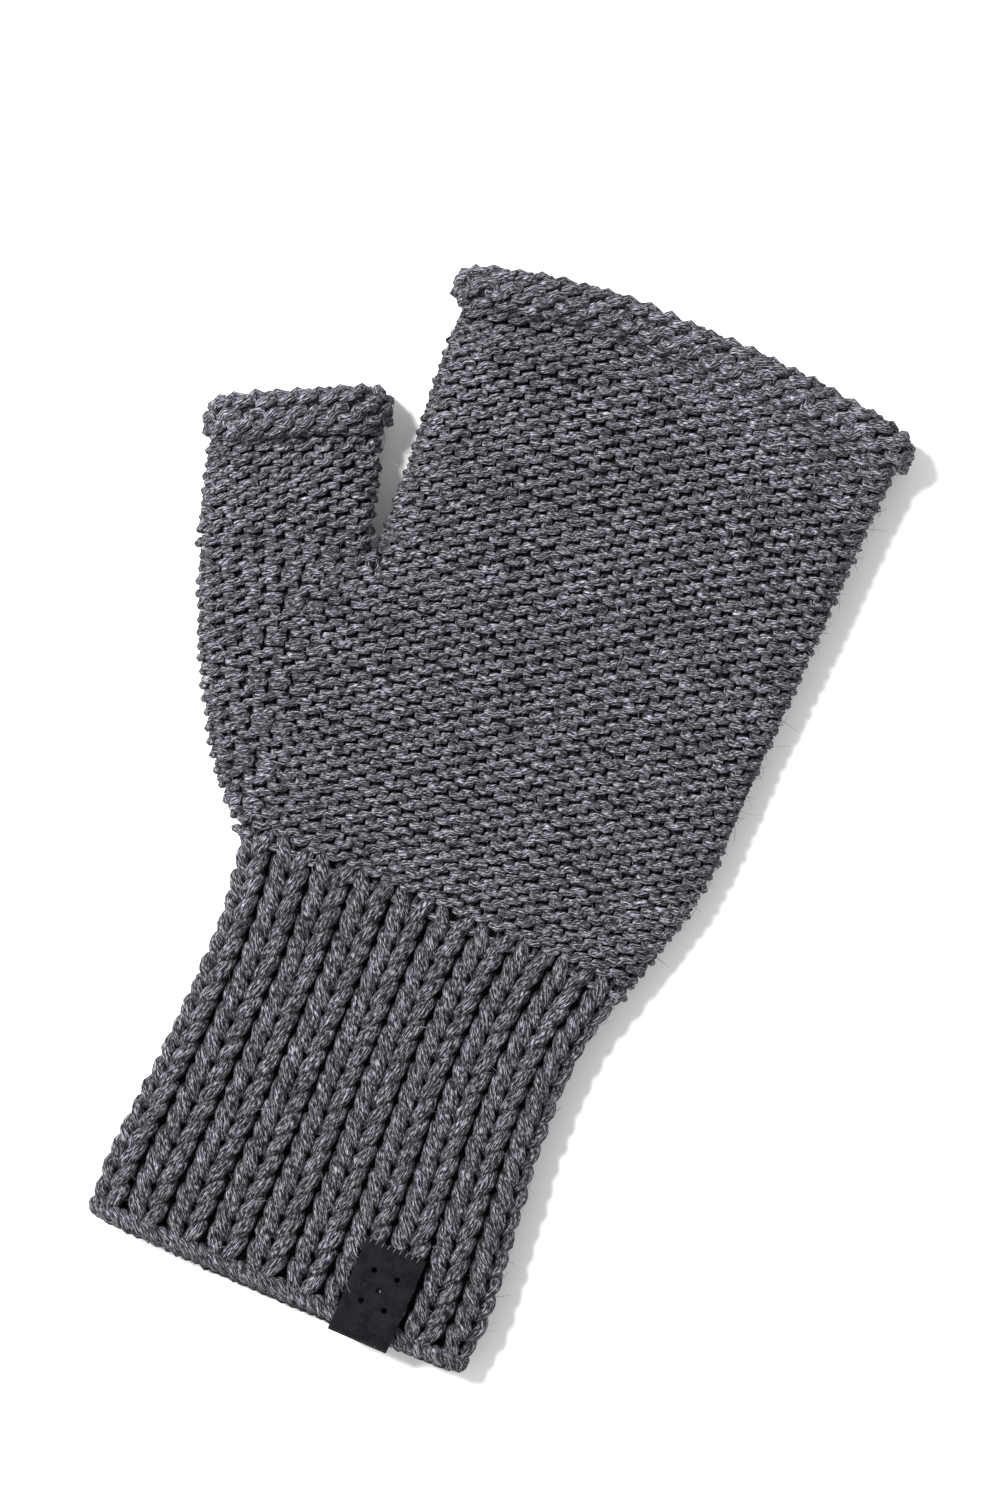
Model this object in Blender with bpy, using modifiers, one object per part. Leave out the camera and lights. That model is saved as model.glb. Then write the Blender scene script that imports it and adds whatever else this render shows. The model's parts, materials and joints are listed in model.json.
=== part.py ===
"""A knitted fingerless glove for the right hand, lying flat with its palm down.

+Y runs from the cuff's hem to the finger opening, +X points to the little-finger side and
+Z up. The origin is below the middle of the glove, on the surface that it lies on.
Each tube of knitting is two half shells, back and palm, which meet at the middle plane.
"""

import math

import bpy
from mathutils import Matrix, Vector

MM = 0.001
GAP = 0.3 * MM

# Lengths along the glove, from the middle of the hem
CUFF_TOP = 84.0 * MM
WRIST_LINE = 87.5 * MM
HAND_START = 91.0 * MM
WRIST_MIDDLE_X = -2.4 * MM
CROTCH = Vector((-43.4 * MM, 145.0 * MM))
MIDDLE = Vector((-17.9 * MM, 105.0 * MM))  # of the whole glove, where the origin is

# Walls and hollows, across the thickness
RIB_WALL = 4.0 * MM
KNIT_WALL = 3.1 * MM
CUFF_HOLLOW = 6.0 * MM
HAND_HOLLOW = 5.4 * MM
ROLL_HEIGHT = 6.4 * MM
CUFF_MID_Z = CUFF_HOLLOW / 2 + RIB_WALL
MOUTH_MID_Z = HAND_HOLLOW / 2 + ROLL_HEIGHT
KNIT_HEIGHT = HAND_HOLLOW / 2 + KNIT_WALL  # of a plain tube, from its middle plane

# The rolled edges
FINGER_ROLL_WIDTH = 8.0 * MM
THUMB_ROLL_WIDTH = 9.6 * MM
HEM_WIDTH = 4.4 * MM
FINGER_ROLL_Y = 211.2 * MM  # of its centre line, in the middle of the hand
FINGER_ROLL_LEFT = -49.6 * MM
FINGER_ROLL_RIGHT = 50.5 * MM

# The thumb, whose tube leans away from the hand
THUMB_LEAN = math.radians(17)
THUMB_HALF_WIDTH = 18.1 * MM
THUMB_ROLL_HALF = 18.6 * MM
THUMB_BAND = 2.5 * MM  # of the pick-up round, each side of its line
THUMB_ROLL_V = 27.8 * MM  # of the roll's centre line, in the middle of the thumb
THUMB_ROLL_SLOPE = math.tan(math.radians(10.4))

# The label, which is folded over the hem
LABEL_X = (12.0 * MM, 25.0 * MM)
LABEL_TOP = 17.0 * MM
LABEL_THICK = 0.9 * MM
STITCH_RADIUS = 0.35 * MM

ARC_STEPS = 5
RING_POINTS = 14
CORD_SIDES = 12

# Half outlines as (length, place) from the glove's centre line, in millimetres
CUFF_LEFT = [(-2, -43.6), (8, -44.8), (24, -43.9), (48, -42.8), (64, -42.9), (91, -47.5)]
CUFF_RIGHT = [(-2, 41.6), (8, 42.8), (24, 41.2), (52, 38.0), (68, 38.1), (91, 43.6)]
HAND_RIGHT = [(84, 41.6), (91, 43.6), (104, 46.8), (140, 48.2), (180, 48.7), (210, 49.2)]
HAND_LEFT = [(84, -43.4), (150, -43.4), (168, -44.6), (192, -46.8), (210, -47.4)]
GUSSET_OUTER = [(84, -47.2), (91, -54.4), (104, -63.4), (118, -71.0), (134, -77.3)]

BODY = bpy.data.collections.new("fingerless_glove")
CUTTERS = bpy.data.collections.new("cutters")


def clear_scene():
    for obj in list(bpy.data.objects):
        bpy.data.objects.remove(obj, do_unlink=True)
    for collection in (BODY, CUTTERS):
        bpy.context.scene.collection.children.link(collection)


def yarn_material(name, colour, roughness):
    material = bpy.data.materials.new(name)
    material.use_nodes = True
    shader = material.node_tree.nodes["Principled BSDF"]
    shader.inputs["Base Color"].default_value = (*colour, 1)
    shader.inputs["Roughness"].default_value = roughness
    shader.inputs["Metallic"].default_value = 0
    return material


def through(points, length):
    """The smooth curve through (length, place) points in millimetres, at a length in metres."""
    y = length / MM
    y = min(max(y, points[0][0]), points[-1][0])
    i = max(k for k in range(len(points) - 1) if points[k][0] <= y)
    (y0, x0), (y1, x1) = points[i], points[i + 1]
    before = points[max(i - 1, 0)]
    after = points[min(i + 2, len(points) - 1)]
    span = y1 - y0
    m0 = (x1 - before[1]) / (y1 - before[0]) * span
    m1 = (after[1] - x0) / (after[0] - y0) * span
    t = (y - y0) / span
    blend = (2 * t**3 - 3 * t**2 + 1) * x0 + (t**3 - 2 * t**2 + t) * m0
    return (blend + (3 * t**2 - 2 * t**3) * x1 + (t**3 - t**2) * m1) * MM


def hem_bow(x):
    """How far the hem bows out below the cuff's corners: 1 in the middle, 0 at the corners."""
    return max(0.0, 1 - ((x + 1 * MM) / (43 * MM)) ** 2) ** 0.5


def finger_line(x):
    """The centre line of the finger opening's roll: it drops towards the thumb side."""
    left = max(0.0, -(x + 10 * MM)) / (39 * MM)
    right = max(0.0, x - 14 * MM) / (36 * MM)
    return FINGER_ROLL_Y - 7.4 * MM * left**1.8 - 3.4 * MM * right**1.6


def hand_mid_z(y):
    rise = (y - HAND_START) / (FINGER_ROLL_Y - HAND_START)
    return CUFF_MID_Z + (MOUTH_MID_Z - CUFF_MID_Z) * min(max(rise, 0.0), 1.0)


THUMB_MID_Z = hand_mid_z(CROTCH.y)
THUMB_U = Vector((math.cos(THUMB_LEAN), math.sin(THUMB_LEAN)))
THUMB_V = Vector((-math.sin(THUMB_LEAN), math.cos(THUMB_LEAN)))
THUMB_BASE = CROTCH - THUMB_U * THUMB_HALF_WIDTH


def thumb_point(u, v):
    return THUMB_BASE + THUMB_U * u + THUMB_V * v


def thumb_roll_v(u):
    return THUMB_ROLL_V + THUMB_ROLL_SLOPE * u


def thumb_mid_z(v):
    return THUMB_MID_Z + (MOUTH_MID_Z - THUMB_MID_Z) * min(max(v / THUMB_ROLL_V, 0.0), 1.0)


def placed(x, y, z):
    return Vector((x - MIDDLE.x, y - MIDDLE.y, z))


def link(obj, material):
    BODY.objects.link(obj)
    obj.data.materials.append(material)
    return obj


def half_profile(left, right, height, walls, flat_steps=6):
    """(across, up) points over one half of a flattened tube, from the left to the right."""
    arc = [math.radians(90) * i / ARC_STEPS for i in range(ARC_STEPS + 1)]
    points = [(left, height)]
    if "left" in walls:
        side = [(left + height * (1 - math.cos(a)), height * math.sin(a)) for a in arc]
        points = [(left, GAP / 2), (left, 2 * GAP)] + side[1:]
    ends = [(right, height)]
    if "right" in walls:
        side = [(right - height * (1 - math.cos(a)), height * math.sin(a)) for a in arc]
        ends = side[:0:-1] + [(right, 2 * GAP), (right, GAP / 2)]
    start, stop = points[-1][0], ends[0][0]
    flat = [(start + (stop - start) * i / flat_steps, height) for i in range(1, flat_steps)]
    return points + flat + ends


def shell(name, rows, side, material):
    """A wall lofted through rows, each a pair of outer and inner points over one half tube."""
    width = len(rows[0][0])
    points = [point for pair in rows for line in pair for point in line]

    def outer(r, c):
        return 2 * r * width + c

    def inner(r, c):
        return (2 * r + 1) * width + c

    faces = []
    last_row, last = len(rows) - 1, width - 1
    for r in range(last_row):
        for c in range(last):
            faces.append((outer(r, c), outer(r, c + 1), outer(r + 1, c + 1), outer(r + 1, c)))
            faces.append((inner(r, c), inner(r + 1, c), inner(r + 1, c + 1), inner(r, c + 1)))
        faces.append((outer(r, 0), outer(r + 1, 0), inner(r + 1, 0), inner(r, 0)))
        faces.append((outer(r, last), inner(r, last), inner(r + 1, last), outer(r + 1, last)))
    for c in range(last):
        faces.append((outer(0, c), inner(0, c), inner(0, c + 1), outer(0, c + 1)))
        end = last_row
        faces.append((outer(end, c), outer(end, c + 1), inner(end, c + 1), inner(end, c)))
    if side < 0:
        faces = [face[::-1] for face in faces]
    mesh = bpy.data.meshes.new(name)
    mesh.from_pydata(points, [], faces)
    mesh.update()
    mesh.shade_smooth()
    mesh.set_sharp_from_angle(angle=math.radians(50))
    return link(bpy.data.objects.new(name, mesh), material)


def wall_rows(place, side, left, right, height, wall, walls, steps):
    """Rows for shell(). place(across, step) gives a point's x and y and the middle plane's z."""
    insets = [wall if edge in walls else 0 for edge in ("left", "right")]
    rows = []
    for t in steps:
        outer = half_profile(left(t), right(t), height(t), walls)
        inner = half_profile(left(t) + insets[0], right(t) - insets[1], height(t) - wall, walls)
        pair = []
        for profile in (outer, inner):
            spots = [(*place(across, t), up) for across, up in profile]
            pair.append([placed(x, y, mid + side * up) for x, y, mid, up in spots])
        rows.append(pair)
    return rows


def fractions(count):
    return [i / count for i in range(count + 1)]


def make_cuff(side, half, material):
    hem = (-2.4 if side > 0 else -3.0) * MM
    bow = (0.4 if side > 0 else 2.2) * MM
    start = hem + HEM_WIDTH + GAP

    def place(x, t):
        y = (1 - t) * (start - bow * hem_bow(x)) + t * CUFF_TOP
        return x, y, CUFF_MID_Z

    rows = wall_rows(
        place,
        side,
        lambda t: through(CUFF_LEFT, start + t * (CUFF_TOP - start)),
        lambda t: through(CUFF_RIGHT, start + t * (CUFF_TOP - start)),
        lambda t: CUFF_MID_Z,
        RIB_WALL,
        ("left", "right"),
        fractions(12),
    )
    shell("cuff_rib_" + half, rows, side, material)
    line = start - GAP - HEM_WIDTH / 2
    ring = ring_half(-43.9 * MM, 42.0 * MM, (CUFF_HOLLOW + RIB_WALL) / 2, RIB_WALL / 2)
    points = [placed(x, line - bow * hem_bow(x), CUFF_MID_Z + side * z) for x, z in ring]
    cord("cast_on_edge_" + half, points, RIB_WALL - 0.1 * MM, HEM_WIDTH, material)


def make_wrist(side, half, material):
    """The rounds where the rib gives way to the plain knitting, which bend with the wrist."""
    low, high = CUFF_TOP + GAP, HAND_START - GAP

    def place(x, t):
        return x, low + t * (high - low), CUFF_MID_Z

    def left(t):
        y = low + t * (high - low)
        return (1 - t) * through(CUFF_LEFT, y) + t * through(GUSSET_OUTER, y)

    rows = wall_rows(
        place,
        side,
        left,
        lambda t: through(CUFF_RIGHT, low + t * (high - low)),
        lambda t: (1 - t) * (CUFF_MID_Z - GAP) + t * KNIT_HEIGHT,
        KNIT_WALL,
        ("left", "right"),
        fractions(4),
    )
    shell("wrist_rounds_" + half, rows, side, material)


def make_hand(side, half, material):
    def place(x, t):
        end = finger_line(x) - FINGER_ROLL_WIDTH / 2 - GAP
        y = HAND_START + t * (end - HAND_START)
        return x, y, hand_mid_z(y)

    def length(t):
        return HAND_START + t * (FINGER_ROLL_Y - HAND_START)

    rows = wall_rows(
        place,
        side,
        lambda t: through(HAND_LEFT, length(t)),
        lambda t: through(HAND_RIGHT, length(t)),
        lambda t: KNIT_HEIGHT,
        KNIT_WALL,
        ("left", "right"),
        fractions(14),
    )
    hand = shell("hand_" + half, rows, side, material)
    cut = hand.modifiers.new("Thumb opening", "BOOLEAN")
    cut.operation = "DIFFERENCE"
    cut.object = bpy.data.objects["thumb_opening_cutter"]
    ring = ring_half(FINGER_ROLL_LEFT, FINGER_ROLL_RIGHT, *roll_sizes())
    points = [placed(x, finger_line(x), MOUTH_MID_Z + side * z) for x, z in ring]
    cord("finger_roll_" + half, points, ROLL_HEIGHT, FINGER_ROLL_WIDTH, material)


def roll_sizes():
    """How high a roll's centre line stands from the middle plane, and its half height."""
    return HAND_HOLLOW / 2 + ROLL_HEIGHT / 2, ROLL_HEIGHT / 2


def seam_x():
    """Where the gusset's knitting meets the hand's."""
    return through(HAND_LEFT, CROTCH.y) + HAND_HOLLOW / 2 + KNIT_WALL + 0.4 * MM


def make_thumb_opening_cutter():
    """It takes the hand's side wall away below the crotch, where the gusset joins."""
    low = placed(-60 * MM, HAND_START - 5 * MM, -5 * MM)
    high = placed(seam_x() + GAP, CROTCH.y + 2.2 * MM, 30 * MM)
    bpy.ops.mesh.primitive_cube_add(size=1, location=(low + high) / 2)
    cutter = bpy.context.active_object
    cutter.name = "thumb_opening_cutter"
    cutter.scale = high - low
    bpy.ops.object.transform_apply(location=False, rotation=False, scale=True)
    for collection in list(cutter.users_collection):
        collection.objects.unlink(cutter)
    CUTTERS.objects.link(cutter)
    cutter.hide_render = True
    cutter.display_type = "WIRE"


def make_gusset(side, half, material):
    inner_low = Vector((seam_x(), HAND_START))
    outer_high = thumb_point(-THUMB_HALF_WIDTH, -THUMB_BAND - GAP)
    inner_high = outer_high + THUMB_U * (seam_x() - outer_high.x) / THUMB_U.x

    def ends(t):
        y = HAND_START + t * (outer_high.y - HAND_START)
        return Vector((through(GUSSET_OUTER, y), y)), inner_low + (inner_high - inner_low) * t

    def reach(t):
        outer, inner = ends(t)
        return (inner - outer).length

    def place(across, t):
        outer, inner = ends(t)
        spot = outer + (inner - outer) * (across / reach(t))
        return spot.x, spot.y, CUFF_MID_Z + t * (THUMB_MID_Z - CUFF_MID_Z)

    rows = wall_rows(
        place,
        side,
        lambda t: 0.0,
        reach,
        lambda t: KNIT_HEIGHT,
        KNIT_WALL,
        ("left",),
        fractions(8),
    )
    shell("gusset_" + half, rows, side, material)


def make_thumb_tube(name, side, low, high, steps, material):
    """One half of a stretch of the thumb, from v = low(u) to v = high(u)."""

    def place(u, t):
        v = (1 - t) * low(u) + t * high(u)
        spot = thumb_point(u, v)
        return spot.x, spot.y, thumb_mid_z(v)

    rows = wall_rows(
        place,
        side,
        lambda t: -THUMB_HALF_WIDTH,
        lambda t: THUMB_HALF_WIDTH,
        lambda t: KNIT_HEIGHT,
        KNIT_WALL,
        ("left", "right"),
        fractions(steps),
    )
    shell(name, rows, side, material)


def make_thumb(side, half, material):
    base = "thumb_base_rounds_" + half
    make_thumb_tube(base, side, lambda u: -THUMB_BAND, lambda u: THUMB_BAND - GAP, 3, material)
    clear = THUMB_ROLL_WIDTH / 2 + GAP
    tube = "thumb_" + half
    make_thumb_tube(
        tube, side, lambda u: THUMB_BAND, lambda u: thumb_roll_v(u) - clear, 5, material
    )
    points = []
    for u, z in ring_half(-THUMB_ROLL_HALF, THUMB_ROLL_HALF, *roll_sizes()):
        spot = thumb_point(u, thumb_roll_v(u))
        points.append(placed(spot.x, spot.y, MOUTH_MID_Z + side * z))
    cord("thumb_roll_" + half, points, ROLL_HEIGHT, THUMB_ROLL_WIDTH, material)


def ring_half(left, right, rise, reach):
    """(across, up) along one half of a flattened ring, whose cord reaches that far outside it."""
    left, right = left + reach, right - reach
    arc = [math.radians(90) * i / ARC_STEPS for i in range(ARC_STEPS + 1)]
    start = [(left + rise * (1 - math.cos(a)), rise * math.sin(a)) for a in arc]
    stop = [(right - rise * (1 - math.cos(a)), rise * math.sin(a)) for a in arc]
    start[:1] = [(left, GAP / 2), (left, 2 * GAP)]
    stop[:1] = [(right, GAP / 2), (right, 2 * GAP)]
    step = (stop[-1][0] - start[-1][0]) / RING_POINTS
    flat = [(start[-1][0] + step * i, rise) for i in range(1, RING_POINTS)]
    return start + flat + stop[::-1]


def cord(name, points, height, width, material):
    """A tube of oval section, lofted along points that lie close to one upright plane."""
    along = (points[-1] - points[0]).normalized()
    level = Vector((-along.y, along.x, 0)) * (width / 2)
    rings = []
    for i, spot in enumerate(points):
        ahead = points[min(i + 1, len(points) - 1)] - points[max(i - 1, 0)]
        up = level.cross(ahead).normalized() * (height / 2)
        turns = [math.tau * k / CORD_SIDES for k in range(CORD_SIDES)]
        rings.append([spot + up * math.cos(a) + level * math.sin(a) for a in turns])
    corners = [corner for ring in rings for corner in ring]
    last = len(corners) - CORD_SIDES
    faces = [tuple(range(CORD_SIDES))[::-1], tuple(range(last, len(corners)))]
    for i in range(len(rings) - 1):
        for k in range(CORD_SIDES):
            a, b = i * CORD_SIDES + k, i * CORD_SIDES + (k + 1) % CORD_SIDES
            faces.append((a, b, b + CORD_SIDES, a + CORD_SIDES))
    mesh = bpy.data.meshes.new(name)
    mesh.from_pydata(corners, [], faces)
    mesh.update()
    mesh.shade_smooth()
    mesh.set_sharp_from_angle(angle=math.radians(50))
    return link(bpy.data.objects.new(name, mesh), material)


def make_crotch_stitches(side, half, material):
    """The stitches that draw the hole shut between the thumb and the hand."""
    y = CROTCH.y + 0.9 * MM
    z = hand_mid_z(y) + side * (KNIT_HEIGHT - 1.3 * MM)
    ends = [placed(x, y, z) for x in (CROTCH.x + 0.9 * MM, seam_x() - GAP)]
    cord("crotch_stitches_" + half, ends, 1.8 * MM, 1.8 * MM, material)


def hinge(name, spot, z, pieces):
    """An empty on a joint's axis, with the pieces that turn about it as its children."""
    empty = bpy.data.objects.new(name, None)
    empty.location = placed(*spot, z)
    BODY.objects.link(empty)
    for piece in pieces:
        obj = bpy.data.objects[piece]
        obj.parent = empty
        obj.matrix_parent_inverse = Matrix.Translation(empty.location).inverted()


def make_label(leather, thread):
    """A strip folded over the hem of the back, with one leaf outside and one inside."""
    inner = CUFF_MID_Z + CUFF_HOLLOW / 2 - GAP
    outer = 2 * CUFF_MID_Z + GAP
    middle, radius = (inner + outer) / 2, (outer - inner) / 2
    fold = -2.8 * MM + radius - GAP
    path = [(LABEL_TOP - i * (LABEL_TOP - fold) / 4, outer) for i in range(5)]
    for i in range(1, 9):
        a = math.radians(90 + 180 * i / 8)
        path.append((fold + radius * math.cos(a), middle + radius * math.sin(a)))
    path += [(fold + i * (LABEL_TOP - fold) / 4, inner) for i in range(1, 5)]
    points = [placed(x, y, z) for x in LABEL_X for y, z in path]
    count = len(path)
    faces = [(i, i + 1, count + i + 1, count + i) for i in range(count - 1)]
    mesh = bpy.data.meshes.new("folded_label")
    mesh.from_pydata(points, [], faces)
    label = link(bpy.data.objects.new("folded_label", mesh), leather)
    leaf = label.modifiers.new("Leather", "SOLIDIFY")
    leaf.thickness = LABEL_THICK
    leaf.offset = 1
    leaf.use_even_offset = True
    z = outer + LABEL_THICK + GAP + STITCH_RADIUS
    curve = bpy.data.curves.new("label_stitching", "CURVE")
    curve.dimensions = "3D"
    curve.bevel_depth = STITCH_RADIUS
    curve.bevel_resolution = 2
    curve.use_fill_caps = True
    spline = curve.splines.new("POLY")
    spline.points.add(1)
    for x, point in zip((LABEL_X[0] + 0.6 * MM, LABEL_X[1] - 0.6 * MM), spline.points):
        point.co = (*placed(x, LABEL_TOP - 1.2 * MM, z), 1)
    link(bpy.data.objects.new("label_stitching", curve), thread)


def main():
    clear_scene()
    wool = yarn_material("charcoal_wool", (0.085, 0.085, 0.098), 0.9)
    rib = yarn_material("charcoal_wool_rib", (0.08, 0.08, 0.093), 0.9)
    roll = yarn_material("charcoal_wool_roll", (0.095, 0.095, 0.108), 0.9)
    leather = yarn_material("label_suede", (0.018, 0.019, 0.026), 0.8)
    thread = yarn_material("label_thread", (0.012, 0.012, 0.016), 0.6)
    make_thumb_opening_cutter()
    for side, half in ((1, "back"), (-1, "palm")):
        make_cuff(side, half, rib)
        make_wrist(side, half, wool)
        make_hand(side, half, wool)
        make_gusset(side, half, wool)
        make_thumb(side, half, wool)
        make_crotch_stitches(side, half, wool)
    for name in ("finger_roll_", "thumb_roll_"):
        for half in ("back", "palm"):
            bpy.data.objects[name + half].data.materials[0] = roll
    make_label(leather, thread)
    cuff = ["cuff_rib_back", "cuff_rib_palm", "cast_on_edge_back", "cast_on_edge_palm"]
    thumb = ["thumb_back", "thumb_palm", "thumb_roll_back", "thumb_roll_palm"]
    wrist = (WRIST_MIDDLE_X, WRIST_LINE)
    hinge("wrist_hinge", wrist, CUFF_MID_Z, cuff + ["folded_label", "label_stitching"])
    hinge("thumb_hinge", THUMB_BASE, THUMB_MID_Z, thumb)


main()
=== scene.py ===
"""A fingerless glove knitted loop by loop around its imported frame.

Lengths in the tables are millimetres in the glove's own frame: X runs across from the
cuff's middle line to the little-finger side, Y runs up from the hem and Z up from the
surface it lies on. to_frame() carries them into the frame's metres.
Knitters' words: a wale is one column of stitches and a course is one round of them.
"""

import json
import math

import bpy
import numpy as np
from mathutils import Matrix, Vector


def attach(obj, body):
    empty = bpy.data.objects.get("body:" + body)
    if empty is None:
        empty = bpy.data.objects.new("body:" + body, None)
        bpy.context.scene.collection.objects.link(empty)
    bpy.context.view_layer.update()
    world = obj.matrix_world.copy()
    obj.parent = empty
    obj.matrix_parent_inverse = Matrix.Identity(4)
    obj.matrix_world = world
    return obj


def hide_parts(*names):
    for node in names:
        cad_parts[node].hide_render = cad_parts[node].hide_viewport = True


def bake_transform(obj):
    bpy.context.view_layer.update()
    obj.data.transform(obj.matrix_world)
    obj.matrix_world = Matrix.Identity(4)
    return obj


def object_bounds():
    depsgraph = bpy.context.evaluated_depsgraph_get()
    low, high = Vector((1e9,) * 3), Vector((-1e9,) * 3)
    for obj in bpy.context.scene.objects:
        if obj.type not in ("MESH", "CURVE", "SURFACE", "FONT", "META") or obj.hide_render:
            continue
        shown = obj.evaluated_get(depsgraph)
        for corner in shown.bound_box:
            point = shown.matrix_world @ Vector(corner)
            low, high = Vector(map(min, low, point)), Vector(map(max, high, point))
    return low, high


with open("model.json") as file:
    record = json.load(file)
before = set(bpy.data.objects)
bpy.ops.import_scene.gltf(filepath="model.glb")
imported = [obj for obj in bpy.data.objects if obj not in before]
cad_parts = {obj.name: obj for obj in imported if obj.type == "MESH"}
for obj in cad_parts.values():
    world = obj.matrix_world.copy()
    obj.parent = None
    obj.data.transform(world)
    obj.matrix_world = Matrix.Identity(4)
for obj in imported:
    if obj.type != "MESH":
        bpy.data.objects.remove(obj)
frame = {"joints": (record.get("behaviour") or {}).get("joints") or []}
CAD_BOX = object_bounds()

bl_info = {
    "name": "Knitted Fingerless Glove",
    "version": (1, 0, 0),
    "blender": (4, 5, 0),
    "location": "View3D > Sidebar > Glove",
    "description": "Knits a fingerless glove loop by loop, with its folded label and a stage",
    "category": "Add Mesh",
}

MM = 0.001
TURN = 2 * math.pi

# The wrist's hinge ties the glove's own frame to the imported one
WRIST_LINE = 87.5
WRIST_MIDDLE_X = -2.4
WRIST = next(joint for joint in frame["joints"] if joint["name"] == "wrist_bend")
SHIFT = np.array([WRIST["pos_m"][0] / MM - WRIST_MIDDLE_X, WRIST["pos_m"][1] / MM - WRIST_LINE, 0])

# Heights of the flattened tubes
CUFF_MID_Z = 7.0
MOUTH_MID_Z = 9.1
KNIT_HEIGHT = 4.25  # of the yarn's middle surface above the tube's middle plane
KNIT_DEPTH = 1.55  # from that surface out to the tops of the loops
RIB_HEIGHT = 5.0
RIB_DEPTH = 2.0
RING_HEIGHT = 5.9
ROLL_OUT = 2.5  # half depth of a roll's section, to the yarn's middle

# Outlines as (Y, X)
CUFF_LEFT = [(-2, -43.6), (8, -44.8), (24, -43.9), (48, -42.8), (64, -42.9), (91, -47.5)]
CUFF_RIGHT = [(-2, 41.6), (8, 42.8), (24, 41.2), (52, 38.0), (68, 38.1), (91, 43.6)]
HAND_RIGHT = [(84, 41.6), (91, 43.6), (104, 46.8), (140, 48.2), (180, 48.7), (210, 49.2)]
HAND_LEFT = [(84, -43.4), (150, -43.4), (168, -44.6), (192, -46.8), (210, -47.4)]
GUSSET_OUTER = [(84, -47.2), (91, -54.4), (104, -63.4), (118, -71.0), (134, -77.3), (139, -79)]

# Stitches
HAND_COURSES = 39
CROTCH_COURSE = 19.8  # the course level that meets the crotch
COURSE = 3.06
HAND_WALES = 40  # over the back and the palm, between the gusset's seams
SEAM_X = -37.2
EDGE_WALES = 4  # that close the hand beside the crotch
LINING_WALES = 8  # of the gusset, as the ground behind it is divided
THUMB_WALES = 18
THUMB_COURSES = 9
FINGER_RING_WALES = 44
ROLL_COURSES = 5
NECK_COURSE = 37.0  # of the hand, where it draws in under the roll
THUMB_NECK = 8.0  # the same on the thumb
NECK_DEPTH = 2.0
RIBS = 20
RIB_ROWS = 18
RIB_ROW = 4.64
FIRST_RIB_ROW = 3.6
CAST_ON_LOOPS = 40

# The finger opening's roll
FINGER_ROLL_Y = 211.2
FINGER_RING = (-46.4, 47.3)
FINGER_ROLL_HALF = 2.8  # half height of its section, to the yarn's middle

# The thumb, in its own (u, v): u across it and v along it
THUMB_LEAN = math.radians(17)
THUMB_HALF = 18.1
CROTCH = np.array([-43.4, 145.0])
THUMB_U = np.array([math.cos(THUMB_LEAN), math.sin(THUMB_LEAN)])
THUMB_V = np.array([-math.sin(THUMB_LEAN), math.cos(THUMB_LEAN)])
THUMB_BASE = CROTCH - THUMB_U * THUMB_HALF
THUMB_ROLL_V = 27.8
THUMB_ROLL_SLOPE = 0.1835
THUMB_RING_HALF = 15.4
THUMB_ROLL_HALF = 3.3

# Yarn
SIDES = 6  # faces round a yarn
RIB_SIDES = 8
LOOP_STEPS = 12  # places along one stitch
LUMPS = 0.07  # how uneven the yarn's surface is, beside its radius
HAIRS = 0.19  # stray fibres per millimetre of yarn
HAIR = 0.045  # radius of one
INSIDE_PAINTED_SHADE = 0.6  # painted shade level of what only the inside of the glove shows, the same everywhere
GAP_PAINTED_SHADE = -2.0  # painted shade level of the sheet between the loops, seen from outside: painted darkest, as shade in the gaps
CAPS = {
    6: [[0, 1, 2, 3], [0, 3, 4, 5]],
    8: [[0, 1, 2, 3], [0, 3, 4, 7], [4, 5, 6, 7]],
}  # the four-sided faces that close a yarn's end
RANDOM = np.random.default_rng(11)


# ---------------------------------------------------------------- settings


class GloveYarnSettings(bpy.types.PropertyGroup):
    loop_radius: bpy.props.FloatProperty(
        name="Yarn radius",
        description="Radius of the yarn in the plain knitting",
        default=0.82 * MM,
        unit="LENGTH",
    )
    roll_radius: bpy.props.FloatProperty(
        name="Roll yarn radius",
        description="Radius of the slack yarn in the rolled edges",
        default=1.2 * MM,
        unit="LENGTH",
    )
    rib_plumpness: bpy.props.FloatProperty(
        name="Rib plumpness",
        description="How thick the rib's loops are beside their usual size",
        default=1.0,
        subtype="FACTOR",
    )
    dark: bpy.props.FloatVectorProperty(
        name="Dark fibres",
        description="Colour of the heather's dark fibres",
        default=(0.004, 0.004, 0.005),
        subtype="COLOR",
    )
    light: bpy.props.FloatVectorProperty(
        name="Light fibres",
        description="Colour of the heather's light fibres",
        default=(0.335, 0.335, 0.386),
        subtype="COLOR",
    )


class GloveLabelSettings(bpy.types.PropertyGroup):
    colour: bpy.props.FloatVectorProperty(
        name="Suede",
        description="Colour of the label's suede",
        default=(0.0032, 0.0032, 0.0050),
        subtype="COLOR",
    )
    hole_radius: bpy.props.FloatProperty(
        name="Hole radius",
        description="Radius of the label's punched holes",
        default=0.62 * MM,
        unit="LENGTH",
    )


class GloveStageSettings(bpy.types.PropertyGroup):
    floor: bpy.props.FloatVectorProperty(
        name="Floor",
        description="Colour of the floor",
        default=(0.92, 0.92, 0.92),
        subtype="COLOR",
    )
    key: bpy.props.FloatProperty(
        name="Key light",
        description="Power of the soft light from the thumb's side",
        default=44.0,
        unit="POWER",
    )
    fill: bpy.props.FloatProperty(
        name="Fill",
        description="Brightness of the even light from all round",
        default=0.84,
    )


# ---------------------------------------------------------------- outlines


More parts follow.
